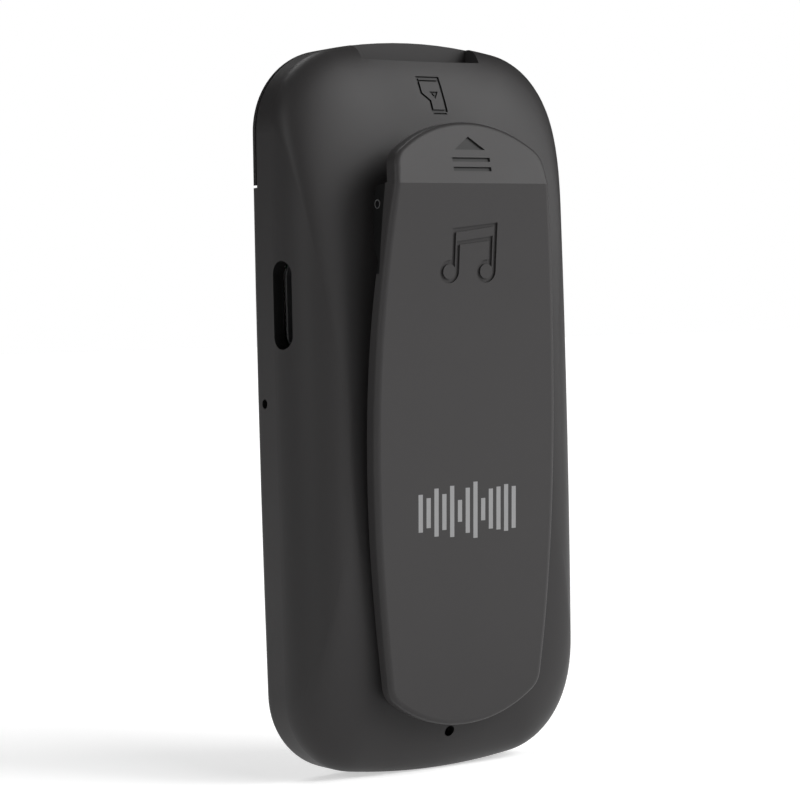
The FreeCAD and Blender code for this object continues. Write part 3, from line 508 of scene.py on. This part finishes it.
def block(name, low, high, material, body, bevel_mm=0.02):
    """A small rounded block between two corners in millimetres."""
    corners = [(x, y, z) for x in (low[0], high[0]) for y in (low[1], high[1]) for z in (low[2], high[2])]
    faces = [(0, 1, 3, 2), (4, 6, 7, 5), (0, 4, 5, 1), (2, 3, 7, 6), (0, 2, 6, 4), (1, 5, 7, 3)]
    mesh = bpy.data.meshes.new(name)
    mesh.from_pydata([Vector(c) * MM for c in corners], [], faces)
    obj = bpy.data.objects.new(name, mesh)
    bpy.context.scene.collection.objects.link(obj)
    rounding = obj.modifiers.new("edges", "BEVEL")
    rounding.width = bevel_mm * MM
    rounding.segments = 2
    mesh.materials.append(material)
    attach(obj, body)
    return obj


def spring_legs():
    """The ends of the torsion spring: one lies on the case, one presses under the thumb pad."""
    low = PIN_Y - COIL_R
    wire("spring_leg_case", [(-LEG_X, low, PIN_Z), (-LEG_X, low - 0.35, PIN_Z - 2.0),
                             (-LEG_X, low - 0.75, PIN_Z - 5.0)], LEG_R, LOOKS["spring"], "case")
    wire("spring_leg_clip", [(LEG_X, low, PIN_Z), (LEG_X, PIN_Y - 0.5, PIN_Z + 2.4),
                             (LEG_X, PIN_Y + 0.35, PIN_Z + 5.2)], LEG_R, LOOKS["spring"], "clip")


def port_contacts():
    """Gold strips on both faces of the charging tongue."""
    x0, x1 = TONGUE_X
    half = PORT_CONTACT_HALF
    for index in range(PORT_CONTACTS):
        z = PORT_Z + (index - (PORT_CONTACTS - 1) / 2) * PORT_CONTACT_PITCH
        for side in (-1, 1):
            face = PORT_Y + side * TONGUE_HALF
            low_y, high_y = sorted((face - side * 0.02, face + side * 0.03))
            block("port_contact_%d_%s" % (index, "ab"[side > 0]), (x0, low_y, z - half),
                  (x1, high_y, z + half), LOOKS["gold"], "case", 0.01)


def card_contacts():
    """Sprung contacts inside the card socket."""
    (low_y, high_y), (low_z, high_z) = CARD_CONTACT_Y, CARD_CONTACT_Z
    half = CARD_CONTACT_HALF
    for index in range(CARD_CONTACTS):
        x = (index - (CARD_CONTACTS - 1) / 2) * CARD_CONTACT_PITCH
        block("card_contact_%d" % index, (x - half, low_y, low_z), (x + half, high_y, high_z),
              LOOKS["gold"], "case", 0.03)


spring_legs()
port_contacts()
card_contacts()


# ---------- Floor, light and camera ----------
def stage_material(name, colour, rough, glow):
    """A faintly clouded surface that glows a little, so that it stays pale."""
    material, tree, shader = blank(name)
    (x, y, z), vector = coordinates(tree)
    cloud = noise(tree, vector, 0.02, 2.0)
    tree.links.new(blend(tree, cloud, tuple(c * 0.995 for c in colour), colour), shader.inputs["Base Color"])
    shader.inputs["Roughness"].default_value = rough
    shader.inputs["Specular IOR Level"].default_value = 0.2
    shader.inputs["Emission Color"].default_value = colour + (1.0,)
    shader.inputs["Emission Strength"].default_value = glow
    return material


# Softboxes: name, degrees round from +Y towards -X, degrees up, strength
SOFT_LIGHTS = (
    ("key", 40, 35, 2.0),
    ("low", 40, 12, 0.9),
    ("edge", 65, 12, 0.9),
    ("fill", 15, 35, 0.95),
    ("side", -80, 20, 1.0),
    ("front", 180, 55, 0.8),
)
SOFTBOX_ANGLE = 30
FLOOR_HALF = 4.0        # metres
FLOOR_COLOUR = (0.75, 0.75, 0.75)
FLOOR_ROUGH = 0.7
FLOOR_GLOW = 0.68
CAMERA_ANGLES = (146.22, 1.99, 1.45)    # round from -Y towards +X, up, roll; degrees
CAMERA_DISTANCE = 0.2912                # metres
CAMERA_TARGET = (0, FACE_Y + 6.0, 39.5 - DATUM)
CAMERA_SENSOR = 36.0
CAMERA_LENS = 121.014
CAMERA_SHIFT = (-0.033625, 0.011875)


def make_stage():
    size = FLOOR_HALF
    mesh = bpy.data.meshes.new("floor")
    mesh.from_pydata([(-size, -size, 0), (size, -size, 0), (size, size, 0), (-size, size, 0)], [],
                     [(0, 1, 2, 3)])
    floor = bpy.data.objects.new("floor", mesh)
    bpy.context.scene.collection.objects.link(floor)
    mesh.materials.append(stage_material("pale_floor", FLOOR_COLOUR, FLOOR_ROUGH, FLOOR_GLOW))


def soft_light(name, around, up, power):
    """A large distant softbox."""
    around, up = math.radians(around), math.radians(up)
    direction = Vector((-math.sin(around) * math.cos(up), math.cos(around) * math.cos(up), math.sin(up)))
    light = bpy.data.lights.new(name, "SUN")
    light.energy = power
    light.angle = math.radians(SOFTBOX_ANGLE)
    obj = bpy.data.objects.new(name, light)
    obj.rotation_euler = (-direction).to_track_quat("-Z", "Y").to_euler()
    bpy.context.scene.collection.objects.link(obj)


def make_light():
    """A white backdrop that gives no light of its own, and the softboxes."""
    world = bpy.data.worlds.new("studio")
    world.use_nodes = True
    tree = world.node_tree
    background = tree.nodes["Background"]
    background.inputs["Color"].default_value = (1, 1, 1, 1)
    tree.links.new(tree.nodes.new("ShaderNodeLightPath").outputs["Is Camera Ray"],
                   background.inputs["Strength"])
    bpy.context.scene.world = world
    for light in SOFT_LIGHTS:
        soft_light(*light)
    bpy.context.scene.view_settings.view_transform = "Standard"


def make_camera():
    azimuth, elevation, roll = (math.radians(angle) for angle in CAMERA_ANGLES)
    back = Vector((math.sin(azimuth) * math.cos(elevation), -math.cos(azimuth) * math.cos(elevation),
                   math.sin(elevation)))
    right = Vector((math.cos(azimuth), math.sin(azimuth), 0))
    up = back.cross(right)
    x_axis = right * math.cos(roll) - up * math.sin(roll)
    y_axis = right * math.sin(roll) + up * math.cos(roll)
    camera = bpy.data.objects.new("camera", bpy.data.cameras.new("camera"))
    place = Matrix((x_axis, y_axis, back)).transposed().to_4x4()
    place.translation = Vector(CAMERA_TARGET) * MM + back * CAMERA_DISTANCE
    camera.matrix_world = place
    camera.data.sensor_width = CAMERA_SENSOR
    camera.data.lens = CAMERA_LENS
    camera.data.shift_x, camera.data.shift_y = CAMERA_SHIFT
    camera.data.clip_start = 0.01
    bpy.context.scene.collection.objects.link(camera)
    bpy.context.scene.camera = camera


make_stage()
make_light()
make_camera()
